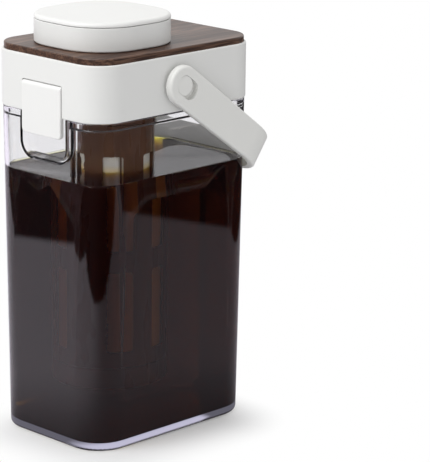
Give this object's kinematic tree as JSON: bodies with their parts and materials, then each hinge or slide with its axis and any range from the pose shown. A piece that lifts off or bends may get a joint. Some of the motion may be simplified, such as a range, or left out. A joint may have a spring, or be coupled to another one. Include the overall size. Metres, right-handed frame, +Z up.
{
  "type": "cold brew coffee maker",
  "caption": "Tall clear rectangular jug with a white collar lid, wood-effect top, lift-out knob, bail handle, hinged spout flap and hanging slotted brown filter.",
  "frame": {"origin": "centre of the jug's flat base, on the surface it stands on", "axes": "+Z up; -X towards the spout flap, +X towards the side where the handle hangs; Y across the jug"},
  "size_m": [0.1414, 0.102, 0.241],
  "materials": {
    "clear_plastic": "clear, polished inside and out",
    "white_plastic": "warm white, very fine satin texture",
    "walnut_top": "dark walnut grain along the long side, satin",
    "brown_plastic": "dark brown, smooth",
    "mesh_cloth": "fine white nylon mesh",
    "silicone": "soft translucent white silicone",
    "steel_pin": "plain drawn wire"
  },
  "bodies": {
    "jug": {"jug": "clear_plastic"},
    "lid": {"collar_shell": "white_plastic", "lid_liner": "white_plastic", "jug_seal": "silicone", "top_plate": "walnut_top", "filter_holder": "brown_plastic", "pivot_pin_left": "white_plastic", "pivot_pin_right": "white_plastic", "flap_hinge_pin": "steel_pin"},
    "knob": {"knob_skirt": "white_plastic", "knob_cap": "white_plastic", "knob_plug": "white_plastic", "knob_seal": "silicone"},
    "handle": {"handle_bail": "white_plastic"},
    "flap": {"spout_flap": "white_plastic"},
    "filter_ring": {"filter_seal": "silicone"},
    "filter": {"filter_frame": "brown_plastic", "filter_mesh": "mesh_cloth"},
    "cap_ring": {"bottom_cap_seal": "silicone"},
    "filter_cap": {"filter_bottom_cap": "brown_plastic"}
  },
  "joints": [
    {"name": "lid_lift", "type": "slide", "parent": "jug", "child": "lid", "axis": [0, 0, 1], "range_m": [0, 0.19]},
    {"name": "knob_lift", "type": "slide", "parent": "lid", "child": "knob", "axis": [0, 0, 1], "range_m": [0, 0.03]},
    {"name": "handle_swing", "type": "hinge", "parent": "lid", "child": "handle", "pos_m": [-0.002, 0, 0.2045], "axis": [0, -1, 0], "range_deg": [0, 245]},
    {"name": "flap_hinge", "type": "hinge", "parent": "lid", "child": "flap", "pos_m": [-0.0614, 0, 0.2045], "axis": [0, 1, 0], "range_deg": [0, 70]},
    {"name": "filter_turn", "type": "hinge", "parent": "lid", "child": "filter_ring", "pos_m": [-0.0096, 0, 0.19], "axis": [0, 0, -1], "range_deg": [0, 180]},
    {"name": "filter_drop", "type": "slide", "parent": "filter_ring", "child": "filter", "axis": [0, 0, -1], "range_m": [0, 0.01]},
    {"name": "cap_turn", "type": "hinge", "parent": "filter", "child": "cap_ring", "pos_m": [-0.0096, 0, 0.045], "axis": [0, 0, -1], "range_deg": [0, 90]},
    {"name": "cap_drop", "type": "slide", "parent": "cap_ring", "child": "filter_cap", "axis": [0, 0, -1], "range_m": [0, 0.005]}
  ],
  "couplings": [
    {"joint": "filter_drop", "follows": "filter_turn", "m_per_rad": 0.0031831},
    {"joint": "cap_drop", "follows": "cap_turn", "m_per_rad": 0.0031831}
  ]
}
